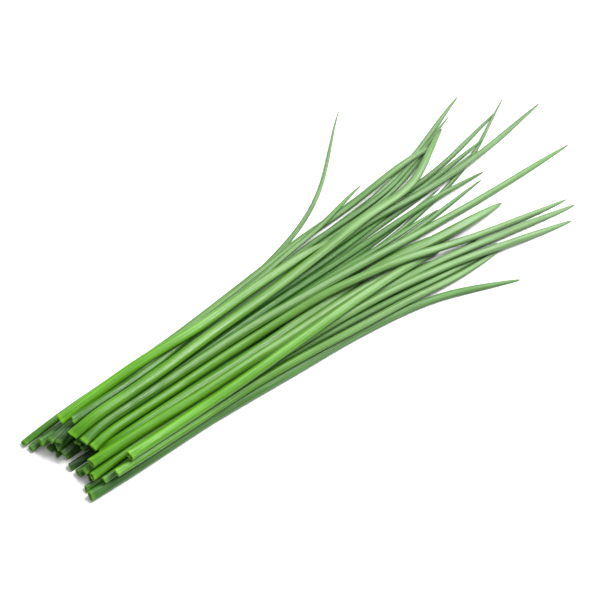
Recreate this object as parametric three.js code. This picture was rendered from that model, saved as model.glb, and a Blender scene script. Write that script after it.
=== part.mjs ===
import * as THREE from 'three';

// A bunch of cut chives, lying loose on a table. Each leaf is one hollow, tapering tube with a square-cut
// end and a pointed tip. Millimetres; +X runs from the cut ends to the tips, +Z is up.

// Driving dimensions. CROSSING_GAP widens the gap between two leaves by the angle at which they cross.
const WALL = 0.6;
const HOLLOW_DEPTH = 30;
const TIP_LENGTH = 24;
const TIP_RADIUS = 0.3;
const TIP_ROUNDNESS = 0.85;
const TAPER_POWER = 2;
const CONTACT_GAP = 0.25;
const CROSSING_GAP = 1;

// How finely a leaf is faceted: corners round it, rings down its tip as shares of the tip's length,
// spans down its hollow, and how far its body may stray from straight between two rings.
const SIDES = 8;
const TIP_RINGS = [0.5, 0.2, 0];
const HOLLOW_SPANS = 3;
const RING_TOLERANCE = 0.08;
const LONGEST_SPAN = 24;

// How the heap settles: height and sideways drift are worked out every STATION_STEP along each leaf.
// In the sinking passes leaves fall by SINK, keep near their own line and climb onto the ones under
// them. In the clearing passes they only move clear of each other.
const STATION_STEP = 4;
const LAYING_HEIGHT = 1.2;
const SINK = 0.03;
const SINKING_PASSES = 2000;
const CLEARING_PASSES = 400;
const LINE_PULL = 0.05;
const SINKING_STIFFNESS = 0.5;
const CLEARING_STIFFNESS = 0.05;
const GIVE = 0.7;
const CROSSING_SLOPE = 0.15;
const STACKED = 0.8;
const CLIMB = 0.2;

// Half the angle of one facet: a leaf lies on a flat facet, not on an edge.
const FACET = Math.PI / SIDES;
const FLAT_TO_AXIS = Math.cos(FACET);

// The leaves in the order they are laid, lowest first. "cut" and "tip" are where a leaf starts and ends
// along the bunch, "wide" is its diameter at the cut end and before the tip, and "across" is its distance
// from the bunch's middle line at equal steps from cut end to tip.
const LEAVES = [
  { cut: -0.5, tip: 238.5, wide: [3.2, 1.9], across: [5.5, 6, 7.5, 8, 9.5, 8.5, 15.5] },
  { cut: -6, tip: 189, wide: [3.2, 1.2], across: [10.5, 11.5, 13, 15, 18, 29.5, 56.5] },
  { cut: 1, tip: 213.5, wide: [3.4, 2.0], across: [-6, -7, -7.5, -7.5, -8, -7.5, -5.5] },
  { cut: 3.5, tip: 196, wide: [3.4, 2.2], across: [-14, -14.5, -15.5, -16.5, -18.5, -21, -23.5, -26.5, -25.5] },
  { cut: -0.5, tip: 199.5, wide: [3.0, 2.4], across: [-17.5, -18, -20, -23, -25.5, -28, -32.5] },
  { cut: 9, tip: 244, wide: [3.0, 1.8], across: [-5, -4, -3, -3.5, -4, -4.5, -2.5, 4, 18.5] },
  { cut: 0, tip: 225.5, wide: [3.2, 2.0], across: [2.5, 3, 3.5, 4.5, 5.5, 5.5, 7.5] },
  { cut: 1.5, tip: 173, wide: [3.8, 2.2], across: [-11, -11, -12, -13.5, -16, -19, -22] },
  { cut: 3, tip: 197.5, wide: [3.4, 1.8], across: [-0.5, -1.5, -2, -2.5, -2.5, -2.5, 2] },
  { cut: -1.5, tip: 196, wide: [4.6, 2.6], across: [-21.5, -23, -24.5, -27.5, -30.5, -37, -51.5] },
  { cut: -2.5, tip: 199, wide: [3.8, 2.0], across: [9, 9.5, 10.5, 12, 12.5, 14, 15.5] },
  { cut: 1.5, tip: 218, wide: [3.0, 1.8], across: [-1, 1, 1.5, 2.5, 4, 5, 5] },
  { cut: 22, tip: 183.5, wide: [3.2, 3.0], across: [-9, -9, -9.5, -10, -10, -10, -14.5] },
  { cut: 6, tip: 197.5, wide: [3.2, 2.4], across: [-21.5, -20, -20.5, -22.5, -25.5, -29.5, -35] },
  { cut: 3, tip: 235, wide: [3.5, 2.8], across: [-12, -13.5, -16.5, -20, -24, -30, -38.5] },
  { cut: 14, tip: 191, wide: [3.0, 1.8], across: [-2, -2.5, -3, -3, -3.5, -5.5, -6] },
  { cut: 7.5, tip: 216.5, wide: [3.0, 2.2], across: [-2, -1.5, 0, 0, -1, -1.5, -3.5] },
  { cut: 11, tip: 200.5, wide: [3.5, 2.6], across: [-22.5, -23, -24, -27, -31, -33, -35] },
  { cut: 3.5, tip: 229.5, wide: [3.8, 2.8], across: [-16.5, -18.5, -20.5, -23, -26.5, -34, -43.5] },
  { cut: 9, tip: 251, wide: [4.4, 2.0], across: [-3.2, -2.8, -3.4, -6, -9.5, -13, -15] },
  { cut: 16, tip: 175, wide: [3.0, 1.8], across: [-1, -1, 0.5, 2, 2, 3.5, 4] },
  { cut: 1, tip: 254, wide: [3.8, 2.0], across: [2.5, 3.5, 4, 5, 4, 2.5, 7.5] },
  { cut: 0, tip: 230.5, wide: [3.2, 2.2], across: [4.5, 7.5, 9.5, 11, 11.5, 17, 31] },
  { cut: 12, tip: 215, wide: [3.0, 1.8], across: [1.5, 3.5, 5, 6.5, 9.5, 12, 23] },
  { cut: 1.5, tip: 222, wide: [2.9, 1.6], across: [3, 4.5, 7.5, 9, 10.5, 13, 26] },
  { cut: -7, tip: 208.5, wide: [3.4, 3.0], across: [14, 12.5, 12.5, 14.5, 17.5, 17, 17.5] },
  { cut: 5.5, tip: 207, wide: [4.4, 3.2], across: [-13, -16, -18.5, -18.5, -17, -17.5, -19] },
  { cut: 13.5, tip: 212.5, wide: [3.6, 4.4], across: [-8, -10.6, -12.2, -11.7, -13.5, -18, -19.5] },
  { cut: 10.5, tip: 174, wide: [3.4, 1.8], across: [4.5, 5.5, 6.5, 8.5, 10.5, 15, 23] },
  { cut: 6.5, tip: 215, wide: [4.8, 3.2], across: [-0.5, -0.5, 0.5, 2.5, 4, 5, 6, 7.5, 22.5] },
  { cut: 18.5, tip: 180, wide: [4.5, 3.4], across: [-22, -21.5, -22, -22.5, -22.5, -21, -20.5] },
  { cut: 11, tip: 234, wide: [4.0, 2.4], across: [-7.5, -7, -7, -10.5, -17.5, -26.5, -34.5] },
  { cut: 8, tip: 146, wide: [4.6, 3.4], across: [8.5, 7.2, 6.4, 6.3, 7.8, 8, 8] },
];

// Radius at a place along a leaf: nearly even at first, then a taper, then a rounded run down to the point.
function radiusAt(leaf, x) {
  const along = THREE.MathUtils.clamp((x - leaf.cut) / (leaf.tip - leaf.cut), 0, 1);
  const radius = THREE.MathUtils.lerp(leaf.wide[0], leaf.wide[1], along ** TAPER_POWER) / 2;
  const left = THREE.MathUtils.clamp((leaf.tip - x) / TIP_LENGTH, 0, 1);
  const point = THREE.MathUtils.lerp(left, Math.sqrt(1 - (1 - left) ** 2), TIP_ROUNDNESS);
  return Math.max(radius * point, TIP_RADIUS);
}

// The leaf as a row of stations with a place across the bunch, a height and a radius.
function layLeaf(leaf, order) {
  const steps = leaf.across.length - 1;
  const places = leaf.across.map((_, i) => THREE.MathUtils.lerp(leaf.cut, leaf.tip, i / steps));
  const line = new THREE.CubicInterpolant(places, leaf.across, 1);
  const first = Math.floor(leaf.cut / STATION_STEP);
  const last = Math.ceil(leaf.tip / STATION_STEP);
  const stations = [];
  for (let i = first; i <= last; i++) {
    const x = THREE.MathUtils.clamp(i * STATION_STEP, leaf.cut, leaf.tip);
    const radius = radiusAt(leaf, x);
    const start = Math.min(x, leaf.tip - 1);
    const slope = line.evaluate(start + 1)[0] - line.evaluate(start)[0];
    const y = line.evaluate(x)[0];
    const slant = Math.cos(Math.atan(slope));
    stations.push({ laidY: y, y, z: radius + order * LAYING_HEIGHT, radius, slope, slant });
  }
  return { ...leaf, first, stations };
}

// Two leaves that come closer than their radii push each other apart, and the one laid later gives way
// more. Where they cross at an angle, the later one is lifted over the earlier one.
function pushApart(a, b, sinking) {
  const turn = Math.abs(a.slope - b.slope);
  const reach = a.radius + b.radius + CONTACT_GAP + CROSSING_GAP * turn;
  const dy = (b.y - a.y) * Math.min(a.slant, b.slant);
  const dz = b.z - a.z;
  if (Math.hypot(dy, dz) >= reach) return;
  if (turn > CROSSING_SLOPE) {
    const lift = Math.sqrt(reach ** 2 - dy ** 2) - dz;
    a.z -= lift * (1 - GIVE);
    b.z += lift * GIVE;
    return;
  }
  const climbs = sinking && Math.abs(dy) < STACKED * reach;
  const rise = climbs ? Math.max(dz, CLIMB * reach) : dz;
  const push = (reach - Math.hypot(dy, dz)) / Math.hypot(dy, rise);
  a.y -= dy * push * (1 - GIVE);
  a.z -= rise * push * (1 - GIVE);
  b.y += dy * push * GIVE;
  b.z += rise * push * GIVE;
}

// Where a station would be if its leaf ran straight through its neighbours, or straight on at an end.
function straightOn(line, i) {
  if (i === 0) return 2 * line[1] - line[2];
  if (i === line.length - 1) return 2 * line[i - 1] - line[i - 2];
  return (line[i - 1] + line[i + 1]) / 2;
}

// A leaf is springy: each station moves towards where it would be in a straight leaf.
function straighten(stations, stiffness) {
  const drift = stations.map((s) => s.y - s.laidY);
  const height = stations.map((s) => s.z);
  stations.forEach((s, i) => {
    s.y += (stiffness / 2) * (straightOn(drift, i) - drift[i]);
    s.z += stiffness * (straightOn(height, i) - height[i]);
  });
}

function restOnTable(stations) {
  for (const s of stations) s.z = Math.max(s.z, s.radius * FLAT_TO_AXIS);
}

// The leaves start stacked well clear of each other and sink until the heap carries them.
function settle(leaves) {
  const crossings = new Map();
  for (const leaf of leaves) {
    leaf.stations.forEach((station, i) => {
      const key = leaf.first + i;
      if (!crossings.has(key)) crossings.set(key, []);
      crossings.get(key).push(station);
    });
  }
  for (let pass = 0; pass < SINKING_PASSES + CLEARING_PASSES; pass++) {
    const sinking = pass < SINKING_PASSES;
    for (const { stations } of leaves) {
      for (const s of sinking ? stations : []) {
        s.z -= SINK;
        s.y += LINE_PULL * (s.laidY - s.y);
      }
      straighten(stations, sinking ? SINKING_STIFFNESS : CLEARING_STIFFNESS);
    }
    for (const here of crossings.values()) {
      for (let i = 0; i < here.length; i++) {
        for (let j = i + 1; j < here.length; j++) pushApart(here[i], here[j], sinking);
      }
    }
    for (const { stations } of leaves) restOnTable(stations);
  }
}

// Centre and heading of the leaf at any place between its settled stations, never lower than it can lie.
function sectionAt(leaf, x) {
  const place = x / STATION_STEP - leaf.first;
  const before = Math.min(Math.floor(place), leaf.stations.length - 2);
  const a = leaf.stations[before];
  const b = leaf.stations[before + 1];
  const part = place - before;
  const y = THREE.MathUtils.lerp(a.y, b.y, part);
  const z = Math.max(THREE.MathUtils.lerp(a.z, b.z, part), radiusAt(leaf, x) * FLAT_TO_AXIS);
  return { x, y, z, heading: Math.atan2(b.y - a.y, STATION_STEP) };
}

// One ring of corners round the axis, with a flat facet underneath.
function ringPoints({ x, y, z, heading }, radius) {
  const points = [];
  for (let i = 0; i < SIDES; i++) {
    const turn = (2 * i + 1) * FACET;
    const side = radius * Math.sin(turn);
    points.push([x - side * Math.sin(heading), y + side * Math.cos(heading), z - radius * Math.cos(turn)]);
  }
  return points;
}

// True if the leaf's axis keeps to the straight line between two places along it, and they are close.
function isStraight(leaf, from, to) {
  if (to - from > LONGEST_SPAN) return false;
  const a = sectionAt(leaf, from);
  const b = sectionAt(leaf, to);
  for (let x = from + STATION_STEP / 2; x < to; x += STATION_STEP / 2) {
    const here = sectionAt(leaf, x);
    const part = (x - from) / (to - from);
    const strayY = here.y - THREE.MathUtils.lerp(a.y, b.y, part);
    const strayZ = here.z - THREE.MathUtils.lerp(a.z, b.z, part);
    if (Math.hypot(strayY, strayZ) > RING_TOLERANCE) return false;
  }
  return true;
}

// Where the rings stand: along the body only where the leaf bends, then at set places down the tip.
function ringPlaces(leaf) {
  const places = [leaf.cut];
  const bodyEnd = leaf.tip - TIP_LENGTH;
  while (places.at(-1) < bodyEnd) {
    const from = places.at(-1);
    let to = Math.min((Math.floor(from / STATION_STEP) + 1) * STATION_STEP, bodyEnd);
    let next = Math.min(to + STATION_STEP, bodyEnd);
    while (next > to && isStraight(leaf, from, next)) {
      to = next;
      next = Math.min(to + STATION_STEP, bodyEnd);
    }
    places.push(to);
  }
  return [...places, ...TIP_RINGS.map((share) => leaf.tip - share * TIP_LENGTH)];
}

// The closed skin of one leaf: from the bottom of the hollow out over the cut rim and along to the tip.
function leafGeometry(leaf) {
  const rings = [];
  for (let span = HOLLOW_SPANS; span >= 0; span--) {
    const x = leaf.cut + (HOLLOW_DEPTH * span) / HOLLOW_SPANS;
    rings.push(ringPoints(sectionAt(leaf, x), radiusAt(leaf, x) - WALL));
  }
  for (const x of ringPlaces(leaf)) rings.push(ringPoints(sectionAt(leaf, x), radiusAt(leaf, x)));
  const floor = sectionAt(leaf, leaf.cut + HOLLOW_DEPTH);
  const end = sectionAt(leaf, leaf.tip);
  const corners = [...rings.flat(), [floor.x, floor.y, floor.z], [end.x + TIP_RADIUS, end.y, end.z]];
  const hollowEnd = corners.length - 2;
  const point = corners.length - 1;
  const lastRing = hollowEnd - SIDES;
  const faces = [];
  for (let i = 0; i < SIDES; i++) {
    const next = (i + 1) % SIDES;
    faces.push(hollowEnd, next, i);
    for (let start = 0; start < lastRing; start += SIDES) {
      faces.push(start + i, start + next, start + SIDES + i);
      faces.push(start + next, start + SIDES + next, start + SIDES + i);
    }
    faces.push(point, lastRing + i, lastRing + next);
  }
  const geometry = new THREE.BufferGeometry();
  geometry.setAttribute('position', new THREE.Float32BufferAttribute(corners.flat(), 3));
  geometry.setIndex(faces);
  geometry.computeVertexNormals();
  return geometry;
}

function leafMesh(leaf, number) {
  const material = new THREE.MeshStandardMaterial({ color: 0x6fa043, roughness: 0.5, metalness: 0 });
  const mesh = new THREE.Mesh(leafGeometry(leaf), material);
  mesh.name = `chive_leaf_${String(number).padStart(2, '0')}`;
  return mesh;
}

const laid = LEAVES.map(layLeaf);
settle(laid);

const bunch = new THREE.Group();
laid.forEach((leaf, i) => bunch.add(leafMesh(leaf, i + 1)));

// The origin is under the middle of the bunch, on the table.
const box = new THREE.Box3().setFromObject(bunch, true);
const middle = box.getCenter(new THREE.Vector3());
bunch.position.set(-middle.x, -middle.y, -box.min.z);

export default bunch;
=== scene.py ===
import bpy
import numpy as np
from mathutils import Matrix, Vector


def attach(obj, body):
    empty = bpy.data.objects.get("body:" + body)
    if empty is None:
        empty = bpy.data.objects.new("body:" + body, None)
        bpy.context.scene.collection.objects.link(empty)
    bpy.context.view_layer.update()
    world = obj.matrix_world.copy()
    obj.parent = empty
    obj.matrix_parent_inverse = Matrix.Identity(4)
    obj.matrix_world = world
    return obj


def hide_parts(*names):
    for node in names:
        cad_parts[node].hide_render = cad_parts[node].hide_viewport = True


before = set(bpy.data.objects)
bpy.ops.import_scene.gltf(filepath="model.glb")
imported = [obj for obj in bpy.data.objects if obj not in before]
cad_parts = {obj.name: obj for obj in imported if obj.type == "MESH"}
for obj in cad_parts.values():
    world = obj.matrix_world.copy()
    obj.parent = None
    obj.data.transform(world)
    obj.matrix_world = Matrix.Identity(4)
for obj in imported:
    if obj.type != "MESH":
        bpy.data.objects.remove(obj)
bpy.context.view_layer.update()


# ---- Chive leaves -------------------------------------------------------------------------------
# Each leaf is one hollow tube of thin, waxy tissue that tapers slowly and is drawn out to a point.
# Every leaf grows its own soft shape, so each solid is replaced by a finer tube on the same line:
# a little oval, faintly ribbed, dented here and there by handling, and pressed flat where it was cut.

# Lengths are in metres, directions round a leaf in radians from straight down, and depths are shares
# of its radius. Where two values stand together, each leaf draws its own between them.
TIP_LENGTH = 0.024
TIP_ROUNDNESS = 0.85
WALL = 0.0004
HOLLOW_DEPTH = 0.030
HOLLOW_ROUNDING = 0.002
RIM_BACK = np.array([0.3, 0.08, 0, 0, 0.08, 0.3, 0.7]) * 0.001
RIM_IN = np.array([1, 0.85, 0.6, 0.4, 0.15, 0, 0]) * WALL
LEAN = 0.42
LEAN_SPREAD = 0.25
LEAN_DRIFT = 2
OVAL = (0.08, 0.30)
RIBS = 11
RIB_DEPTH = 0.014
DENTS = 7
FIRST_DENT = 0.02
DENT_LENGTH = (0.002, 0.016)
DENT_DEPTH = (0.02, 0.09)
PRESSED_LENGTH = 0.005
PRESSED_SPREAD = 0.35
PRESSED_DEPTH = (0.3, 0.55)
HOLLOW_CLOSED = (0.55, 0.85)
CUT_SLANT = (0.05, 0.3)
FIRST_SEED = 100

# How finely a leaf is drawn: corners round it, rings in its hollow and down its body and its tip, how
# far the body's rings crowd towards the cut, where the last ring stands (just short of the point, to
# keep its corners apart), and how far the line's bends are rounded.
SIDES = 44
BOTTOM_RINGS = 6
SHAFT_RINGS = np.array([0.8, 0.55, 0.3, 0.15, 0.07, 0.03])
BODY_RINGS = 170
BODY_CROWDING = 1.15
TIP_RINGS = 22
LAST_RING = 0.99999
SMOOTHING = 0.005
LINE_STEP = 0.0005
ABOVE_TABLE = 0.00002


def leaf_rings(solid):
    """Middle and radius of each ring of corners on the outside of a leaf's solid, from cut end to tip.

    The first ring is the point of the tip. Each next ring is all corners that share an edge with the
    last ring and aren't in an earlier one. The outside ends where a ring has the middle of the one
    before it: that is the inner edge of the cut."""
    corners = np.empty(len(solid.data.vertices) * 3, np.float32)
    solid.data.vertices.foreach_get("co", corners)
    loops = np.empty(len(solid.data.loops), np.int32)
    solid.data.loops.foreach_get("vertex_index", loops)
    corners, same = np.unique(corners.reshape(-1, 3), axis=0, return_inverse=True)
    triangles = same.ravel()[loops].reshape(-1, 3)
    joined = np.zeros((len(corners), len(corners)), bool)
    joined[triangles, np.roll(triangles, 1, axis=1)] = True
    joined |= joined.T
    ring = np.zeros(len(corners), bool)
    ring[corners[:, 0].argmax()] = True
    seen = ring
    middles, radii = [corners[ring][0]], [0.0]
    while True:
        ring = joined[ring].any(axis=0) & ~seen
        seen = seen | ring
        middle = corners[ring].mean(axis=0)
        if np.linalg.norm(middle - middles[-1]) < WALL / 10:
            return np.array(middles[::-1], float), np.array(radii[::-1])
        middles.append(middle)
        radii.append(np.linalg.norm(corners[ring] - middle, axis=1).mean())


def smooth_line(places, points):
    """The line through points at given places along it, with its bends rounded.

    The line is sampled at even steps, continued at both ends by its own half-turned copy, and each
    sample becomes the mean of its neighbours weighted by a bell curve SMOOTHING wide."""
    fine = np.arange(0, places[-1], LINE_STEP)
    reach = int(3 * SMOOTHING / LINE_STEP)
    bell = np.exp(-0.5 * (np.arange(-reach, reach + 1) * LINE_STEP / SMOOTHING) ** 2)
    bell /= bell.sum()
    sampled = [np.interp(fine, places, points[:, axis]) for axis in range(3)]
    longer = [np.pad(line, reach, "reflect", reflect_type="odd") for line in sampled]
    return fine, np.stack([np.convolve(line, bell, "valid") for line in longer], axis=1)


def tip_share(left):
    """Share of its body's radius that a leaf has where a length is left to its tip: full until the
    last TIP_LENGTH, then a mix of a quarter ellipse and a straight line down to nothing."""
    left = np.clip(left / TIP_LENGTH, 0, 1)
    return TIP_ROUNDNESS * np.sqrt(1 - (1 - left) ** 2) + (1 - TIP_ROUNDNESS) * left


def leaf_rows(length):
    """Four values for each row of a leaf's surface, from the bottom of its hollow out over the cut
    edge and along its outside to the tip: the distance from the cut, the depth under the skin, the
    share of the hollow's radius, and 1 inside or 0 outside."""
    turn = np.linspace(0.02, np.pi / 2, BOTTOM_RINGS)
    bottom = HOLLOW_DEPTH - HOLLOW_ROUNDING * (1 - np.cos(turn))
    shaft = (HOLLOW_DEPTH - HOLLOW_ROUNDING) * SHAFT_RINGS
    body = (length - TIP_LENGTH) * np.linspace(0, 1, BODY_RINGS)[1:] ** BODY_CROWDING
    body = body[body > RIM_BACK[-1] * 1.5]
    tip = length - TIP_LENGTH * np.cos(np.linspace(0, np.pi / 2, TIP_RINGS + 1)[1:])
    tip[-1] = length * LAST_RING
    hollow, skin = len(bottom) + len(shaft), len(body) + len(tip)
    along = np.concatenate([bottom, shaft, RIM_BACK, body, tip])
    under = np.concatenate([np.full(hollow, WALL), RIM_IN, np.zeros(skin)])
    share = np.concatenate([np.sin(turn), np.ones(len(along) - len(turn))])
    inside = (np.arange(len(along)) < hollow + len(RIM_BACK) // 2).astype(float)
    return [row[:, None] for row in (along, under, share, inside)]


def leaf_shape(along, angle, length, chance):
    """Share of the round body's radius at each place: an oval that leans over slowly along the leaf,
    shallow ribs, and a few dents, each a bell along the leaf times a raised cosine round it.
    Every term only takes away, so no leaf grows into the next."""
    lean = chance.normal(LEAN, LEAN_SPREAD) + chance.normal(0, LEAN_DRIFT) * along
    oval = chance.uniform(*OVAL) * (0.8 + 0.4 * along / length)
    shape = 1 - oval * np.cos(angle - lean) ** 2
    shape = shape - RIB_DEPTH * (1 + np.cos(RIBS * angle + chance.uniform(0, 6)))
    for _ in range(DENTS):
        where, side = chance.uniform(FIRST_DENT, length), chance.uniform(0, 2 * np.pi)
        wide, deep = chance.uniform(*DENT_LENGTH), chance.uniform(*DENT_DEPTH)
        bell = np.exp(-(((along - where) / wide) ** 2))
        shape = shape - deep * bell * (0.5 + 0.5 * np.cos(angle - side)) ** 2
    return shape


def add_attribute(mesh, name, values):
    """Gives each corner of a mesh a number that its material can read."""
    mesh.attributes.new(name, "FLOAT", "POINT").data.foreach_set("value", values.astype(np.float32))


def leaf_mesh(name, solid, chance):
    """A leaf and its hollow as one closed surface over (distance along, angle round).

    A corner lies at the line's place for its distance, plus its reach times (sine of its angle
    sideways, minus cosine of its angle upwards). The reach is the body's radius times the share
    left near the tip times the leaf's shape, less the depth under the skin. Towards the cut the
    tube is pressed flatter by a squared cosine, which half closes its hollow, and the cut slants
    across by a cosine round the leaf."""
    middles, radii = leaf_rings(solid)
    places = np.concatenate([[0], np.cumsum(np.linalg.norm(np.diff(middles, axis=0), axis=1))])
    length = places[-1]
    body = radii[:-2] / tip_share(length - places[:-2])
    along, under, share, inside = leaf_rows(length)
    angle = np.linspace(0, 2 * np.pi, SIDES, endpoint=False)[None, :]

    near_cut = np.exp(-along / PRESSED_LENGTH)
    pressed = near_cut * np.cos(angle - chance.normal(LEAN, PRESSED_SPREAD)) ** 2
    shape = leaf_shape(along, angle, length, chance) - chance.uniform(*PRESSED_DEPTH) * pressed
    slant = chance.uniform(*CUT_SLANT) * body[0] * (1 + np.cos(angle - chance.uniform(0, 2 * np.pi)))
    closed = 1 - chance.uniform(*HOLLOW_CLOSED) * pressed
    reach = np.interp(along, places[:-2], body) * tip_share(length - along) * shape - under
    reach = np.where(inside > 0, np.maximum(reach, WALL / 5) * closed * share, reach)
    along = along + slant * near_cut

    fine, line = smooth_line(places, middles)
    heading = np.gradient(line, axis=0)
    sideways = np.cross([0, 0, 1], heading)
    upwards = np.cross(heading, sideways)
    line, sideways, upwards = (
        np.stack([np.interp(along, fine, way[:, axis]) for axis in range(3)], axis=-1)
        for way in (line, sideways, upwards))
    sideways /= np.linalg.norm(sideways, axis=-1, keepdims=True)
    upwards /= np.linalg.norm(upwards, axis=-1, keepdims=True)
    aside, above = reach * np.sin(angle), reach * -np.cos(angle)
    grid = line + aside[..., None] * sideways + above[..., None] * upwards
    grid[..., 2] = np.maximum(grid[..., 2], ABOVE_TABLE)

    rows = len(grid)
    start = np.arange(rows * SIDES).reshape(rows, SIDES)
    onward = np.roll(start, -1, axis=1)
    quads = np.stack([start[:-1], onward[:-1], onward[1:], start[1:]], axis=-1).reshape(-1, 4)
    bottom, point = np.full(SIDES, rows * SIDES), np.full(SIDES, rows * SIDES + 1)
    bottom_fan = np.stack([bottom, onward[0], start[0]], axis=-1)
    point_fan = np.stack([point, start[-1], onward[-1]], axis=-1)
    corners = np.concatenate([grid.reshape(-1, 3), [grid[0].mean(axis=0), grid[-1].mean(axis=0)]])

    mesh = bpy.data.meshes.new(name)
    mesh.from_pydata(corners.tolist(), [], quads.tolist() + bottom_fan.tolist() + point_fan.tolist())
    mesh.polygons.foreach_set("use_smooth", np.ones(len(mesh.polygons), bool))
    add_attribute(mesh, "from_cut", np.append(along, [HOLLOW_DEPTH, length]))
    add_attribute(mesh, "to_tip", np.append(length - along, [length - HOLLOW_DEPTH, 0]))
    add_attribute(mesh, "inside", np.append(np.broadcast_to(under / WALL, along.shape), [1, 0]))
    add_attribute(mesh, "aside", np.append(np.broadcast_to(np.sin(angle), along.shape), [0, 0]))
    add_attribute(mesh, "downward", np.append(np.broadcast_to(np.cos(angle), along.shape), [0, 0]))
    return mesh


# How one leaf differs from the next: how light it is, where a value below nought is painted shade on a
# leaf that lies under others in the bunch; how yellow (or, below nought, how grey); and how many
# metres of its tip have dried.
LEAF_LOOKS = {
    "chive_leaf_01": (-0.30, 0.1, 0.004),
    "chive_leaf_02": (-0.20, 0.0, 0.003),
    "chive_leaf_03": (-0.40, 0.0, 0.001),
    "chive_leaf_04": (-0.30, 0.0, 0.001),
    "chive_leaf_05": (-0.23, 0.0, 0.003),
    "chive_leaf_06": (-0.33, 0.0, 0.005),
    "chive_leaf_07": (-0.33, 0.0, 0.001),
    "chive_leaf_08": (-0.28, 0.0, 0.004),
    "chive_leaf_09": (-0.30, 0.0, 0.003),
    "chive_leaf_10": (-0.12, -0.8, 0.002),
    "chive_leaf_11": (-0.15, 0.0, 0.001),
    "chive_leaf_12": (-0.33, 0.0, 0.001),
    "chive_leaf_13": (-0.30, 0.0, 0.001),
    "chive_leaf_14": (-0.15, 0.1, 0.003),
    "chive_leaf_15": (0.00, 0.0, 0.003),
    "chive_leaf_16": (-0.30, 0.0, 0.004),
    "chive_leaf_17": (-0.28, 0.1, 0.003),
    "chive_leaf_18": (0.00, 0.6, 0.001),
    "chive_leaf_19": (0.03, 0.4, 0.001),
    "chive_leaf_20": (0.00, -0.3, 0.004),
    "chive_leaf_21": (-0.30, 0.0, 0.001),
    "chive_leaf_22": (-0.17, 0.0, 0.004),
    "chive_leaf_23": (-0.23, 0.0, 0.001),
    "chive_leaf_24": (-0.25, 0.0, 0.002),
    "chive_leaf_25": (-0.28, 0.0, 0.001),
    "chive_leaf_26": (-0.08, 0.2, 0.002),
    "chive_leaf_27": (0.02, 0.5, 0.003),
    "chive_leaf_28": (-0.05, 0.4, 0.003),
    "chive_leaf_29": (-0.15, 0.1, 0.005),
    "chive_leaf_30": (0.06, 0.3, 0.005),
    "chive_leaf_31": (0.08, 1.0, 0.001),
    "chive_leaf_32": (0.03, 0.3, 0.001),
    "chive_leaf_33": (0.08, 0.8, 0.002),
}


class Signal:
    """One output of a material's nodes. Arithmetic on signals adds the Math nodes that do it."""

    def __init__(self, tree, socket=None):
        self.tree = tree
        self.socket = socket

    def node(self, kind, settings=(), sockets=(), output=0):
        """Adds a node, gives it its settings, sets or links its sockets, and returns one output."""
        node = self.tree.nodes.new("ShaderNode" + kind)
        for name, value in dict(settings).items():
            if name == "stops":
                stops = node.color_ramp.elements
                for _ in value[2:]:
                    stops.new(0.5)
                for stop, (place, colour) in zip(stops, value):
                    stop.position, stop.color = place, colour
            else:
                setattr(node, name, value)
        for name, value in dict(sockets).items():
            if isinstance(value, Signal):
                self.tree.links.new(value.socket, node.inputs[name])
            else:
                node.inputs[name].default_value = value
        return Signal(self.tree, node.outputs[output])

    def math(self, operation, *others):
        """A Math node with this signal as its first value."""
        return self.node("Math", {"operation": operation}, dict(enumerate((self, *others))))

    def attribute(self, name):
        return self.node("Attribute", {"attribute_name": name}, output="Fac")

    def noise(self, vector, scale, detail):
        """Noise at a scale, spread about nought: most of it lies between -0.2 and 0.2."""
        return self.node("TexNoise", (), {"Vector": vector, "Scale": scale, "Detail": detail}) - 0.5

    def clamped(self):
        return self.node("Clamp", (), {0: self})

    def blend(self, colour_a, colour_b):
        """The first colour where this signal is 0 and the second where it is 1."""
        return self.node("Mix", {"data_type": "RGBA"}, {0: self, 6: colour_a, 7: colour_b}, output=2)

    def __add__(self, other):
        return self.math("ADD", other)

    def __sub__(self, other):
        return self.math("SUBTRACT", other)

    def __rsub__(self, other):
        return self * -1 + other

    def __mul__(self, other):
        return self.math("MULTIPLY", other)

    __radd__ = __add__
    __rmul__ = __mul__


# Linear colours down a leaf, from its cut end to COLOURS_REACH away, and what shows over them.
COLOURS_REACH = 0.238
DOWN_THE_LEAF = [
    (0.00, (0.028, 0.116, 0.000, 1)),
    (0.18, (0.042, 0.132, 0.001, 1)),
    (0.45, (0.055, 0.142, 0.013, 1)),
    (0.75, (0.067, 0.152, 0.029, 1)),
    (1.00, (0.074, 0.156, 0.039, 1)),
]
YOUNG_YELLOW = (0.052, 0.180, 0.000, 1)
OLD_GREY = (0.042, 0.110, 0.030, 1)
# Painted shade: the deep green that leaves lying under others in the bunch are blended towards.
PAINTED_SHADE_GREEN = (0.028, 0.145, 0.008, 1)
WAX_BLOOM = (0.105, 0.180, 0.088, 1)
DRIED_TIP = (0.085, 0.062, 0.045, 1)
LIP_LENGTH = 0.0025
DRY_EDGE = 0.003
CUT_LIP = (0.120, 0.330, 0.005, 1)
CUT_TISSUE = (0.120, 0.300, 0.020, 1)
# Painted shade: the dark green that the underside and sides of every leaf are blended towards.
PAINTED_UNDERSIDE_SHADE = (0.003, 0.086, 0.000, 1)
DARKEST = 0.15

# Veins round a leaf (a whole number, so that they meet), how fast the skin's pattern changes along it,
# how fine its parts are, and the skin's gloss and relief.
VEINS = 22
SKIN_PER_METRE = 10
STREAK_SCALE = 3.2
BAND_SCALE = 1.1
BLOTCH_SCALE = 55.0
GRAIN_SCALE = 2600.0
SKIN_ROUGHNESS = 0.33
SKIN_IOR = 1.42
SKIN_SPECULAR = 0.43
BUMP_STRENGTH = 0.4
BUMP_HEIGHT = 0.00012


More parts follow.
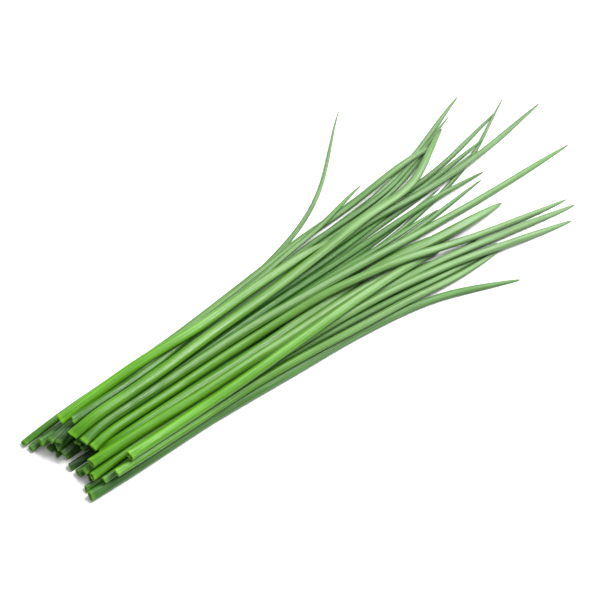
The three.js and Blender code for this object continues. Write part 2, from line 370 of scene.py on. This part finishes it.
def leaf_material():
    """Fresh chive: deep yellow-green at the cut end, paler up the leaf, greyer at the tip, with fine
    veins along it, blotches, a patchy bloom of wax, a dried tip, and pale wet tissue where cut, plus
    painted shade on the underside of every leaf and on the leaves that lie under others."""
    material = bpy.data.materials.new("fresh_chive")
    material.use_nodes = True
    material.node_tree.nodes.clear()
    graph = Signal(material.node_tree)
    from_cut, to_tip = graph.attribute("from_cut"), graph.attribute("to_tip")
    aside, downward = graph.attribute("aside"), graph.attribute("downward")
    light, yellow, dried = graph.attribute("light"), graph.attribute("yellow"), graph.attribute("dried")
    inside = graph.attribute("inside")

    place = graph.node("TexCoord", output="Object")
    unrolled = graph.node("CombineXYZ", (), {0: aside, 1: downward, 2: from_cut * SKIN_PER_METRE})
    streaks = graph.noise(unrolled, STREAK_SCALE, 5.0)
    bands = graph.noise(unrolled, BAND_SCALE, 1.0)
    blotches = graph.noise(place, BLOTCH_SCALE, 2.0)
    grain = graph.noise(place, GRAIN_SCALE, 2.0)
    veins = (aside.math("ARCTAN2", downward) * VEINS + streaks * 5).math("SINE")

    # A positive "yellow" yellows the lower leaf and a negative one greys all of it. A leaf that lies under
    # others in the bunch gets painted shade: a deeper green, darker towards its cut end, with less wax and
    # a fainter lip.
    down = from_cut * (1 / COLOURS_REACH) + blotches * 0.5
    colour = graph.node("ValToRGB", {"stops": DOWN_THE_LEAF}, {0: down})
    young = (yellow * (1.5 - from_cut * 12)).clamped()
    colour = young.blend(colour, YOUNG_YELLOW)
    colour = (yellow * -0.6).clamped().blend(colour, OLD_GREY)
    # Painted shade: deep is how far a low-lying leaf is blended towards the shaded green, most near its
    # cut end.
    deep = (light * -2.5).clamped() * (1.6 - from_cut * 6).clamped()
    colour = deep.blend(colour, PAINTED_SHADE_GREEN)
    bloom = (from_cut * 5 + bands * 2.2 + streaks * 1.6 - 0.25).clamped()
    bloom = bloom * (0.5 - young * 0.4) * (1 - deep * 0.8)
    colour = bloom.blend(colour, WAX_BLOOM)
    # Painted shade darkens low-lying leaves, most towards the cut end; a positive light makes a leaf a
    # little lighter.
    lightness_and_painted_shade = light * (to_tip * 12 + 0.3).clamped() - deep * (0.5 - from_cut * 12).clamped()
    tone = 1 + lightness_and_painted_shade + streaks * 1.2 + bands * 0.7 + blotches * 0.5 + grain * 0.15 + veins * 0.08
    tone = tone.math("MAXIMUM", DARKEST)
    colour = graph.node("VectorMath", {"operation": "SCALE"}, {0: colour, "Scale": tone})
    # Painted shade: each leaf's underside, and its sides in part, are darkened towards a deep green by
    # their angle round it.
    below = (downward * 1.5 + 0.5).clamped()
    colour = (below * 0.78).blend(colour, PAINTED_UNDERSIDE_SHADE)
    lip = (1 - from_cut * (1 / LIP_LENGTH)).clamped() * (0.6 - deep * 0.5)
    colour = lip.blend(colour, CUT_LIP)
    dry = ((dried - to_tip + streaks * 0.004) * (1 / DRY_EDGE)).clamped() * 0.85
    colour = dry.blend(colour, DRIED_TIP)
    colour = (inside * 0.8).blend(colour, CUT_TISSUE)

    rough = SKIN_ROUGHNESS + blotches * 0.2 + streaks * 0.25 + bloom * 0.15
    height = veins * 0.4 + streaks * 3 + grain * 0.6
    bump = graph.node("Bump", (), {"Height": height, "Strength": BUMP_STRENGTH, "Distance": BUMP_HEIGHT})
    skin = graph.node("BsdfPrincipled", (), {"Base Color": colour, "Roughness": rough, "Normal": bump,
                                             "IOR": SKIN_IOR, "Specular IOR Level": SKIN_SPECULAR})
    output = graph.tree.nodes.new("ShaderNodeOutputMaterial")
    graph.tree.links.new(skin.socket, output.inputs["Surface"])
    return material


fresh_chive = leaf_material()
for number, (node, solid) in enumerate(sorted(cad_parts.items())):
    chance = np.random.default_rng(FIRST_SEED + number)
    mesh = leaf_mesh(node + "_skin", solid, chance)
    mesh.materials.append(fresh_chive)
    for label, value in zip(("light", "yellow", "dried"), LEAF_LOOKS[node]):
        add_attribute(mesh, label, np.full(len(mesh.vertices), value))
    leaf = bpy.data.objects.new(node + "_skin", mesh)
    bpy.context.scene.collection.objects.link(leaf)
    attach(leaf, "root")
    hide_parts(node)


# ---- Table and light ------------------------------------------------------------------------------
# The bunch lies on a plain white table. A soft light stands high to its right and a wide, weak one
# behind it, and the pale room fills the shadows, so they only show close to the cut ends.

TABLE_REACH = 3.0
TABLE_WHITE = (0.72, 0.72, 0.72, 1)
TABLE_ROUGHNESS = 0.7
ROOM_WHITE = (1, 1, 1, 1)
ROOM_STRENGTH = 0.72
TURNED = np.radians(38.96)
CAMERA_RIGHT = np.array([np.cos(TURNED), -np.sin(TURNED), 0])
CAMERA_AHEAD = np.array([np.sin(TURNED), np.cos(TURNED), 0])
LAMP_HEIGHT = np.array([0, 0, 1.2])

table = bpy.data.meshes.new("table_top")
table.from_pydata([(x * TABLE_REACH, y * TABLE_REACH, 0) for x, y in ((-1, -1), (1, -1), (1, 1), (-1, 1))],
                  [], [(0, 1, 2, 3)])
table_top = bpy.data.objects.new("table_top", table)
bpy.context.scene.collection.objects.link(table_top)
white = bpy.data.materials.new("white_table")
white.use_nodes = True
white.node_tree.nodes["Principled BSDF"].inputs["Base Color"].default_value = TABLE_WHITE
white.node_tree.nodes["Principled BSDF"].inputs["Roughness"].default_value = TABLE_ROUGHNESS
table.materials.append(white)

room = bpy.data.worlds.new("pale_room")
bpy.context.scene.world = room
room.use_nodes = True
room.node_tree.nodes["Background"].inputs["Color"].default_value = ROOM_WHITE
room.node_tree.nodes["Background"].inputs["Strength"].default_value = ROOM_STRENGTH


def soft_light(name, place, size, power):
    """A square lamp of a given size at a place in metres, turned to face the bunch."""
    lamp = bpy.data.lights.new(name, "AREA")
    lamp.size = size
    lamp.energy = power
    holder = bpy.data.objects.new(name, lamp)
    holder.location = place
    holder.rotation_euler = Vector(place).to_track_quat("Z", "Y").to_euler()
    bpy.context.scene.collection.objects.link(holder)


soft_light("right_light", CAMERA_RIGHT * 0.75 + CAMERA_AHEAD * 0.36 + LAMP_HEIGHT, size=0.8, power=57)
soft_light("back_light", CAMERA_RIGHT * 0.1 + CAMERA_AHEAD * 0.9 + LAMP_HEIGHT, size=1.5, power=5)


# ---- Camera ---------------------------------------------------------------------------------------
# A long lens looks down at the bunch at 60 degrees, so that leaves side by side stay side by side.

FRAME_WIDTH = 0.240
LOOKING_DOWN = np.radians(60)
AIM = np.array([-0.0039, -0.0070, 0.004])
LENS_MM = 1000
SENSOR_MM = 36

camera = bpy.data.cameras.new("camera")
camera.lens = LENS_MM
camera.sensor_width = SENSOR_MM
camera.clip_end = 100
to_camera = -CAMERA_AHEAD * np.cos(LOOKING_DOWN) + np.array([0, 0, np.sin(LOOKING_DOWN)])
stand = bpy.data.objects.new("camera", camera)
stand.location = AIM + to_camera * FRAME_WIDTH * LENS_MM / SENSOR_MM
stand.rotation_euler = Vector(to_camera).to_track_quat("Z", "Y").to_euler()
bpy.context.scene.collection.objects.link(stand)
bpy.context.scene.camera = stand
bpy.context.scene.view_settings.view_transform = "Standard"
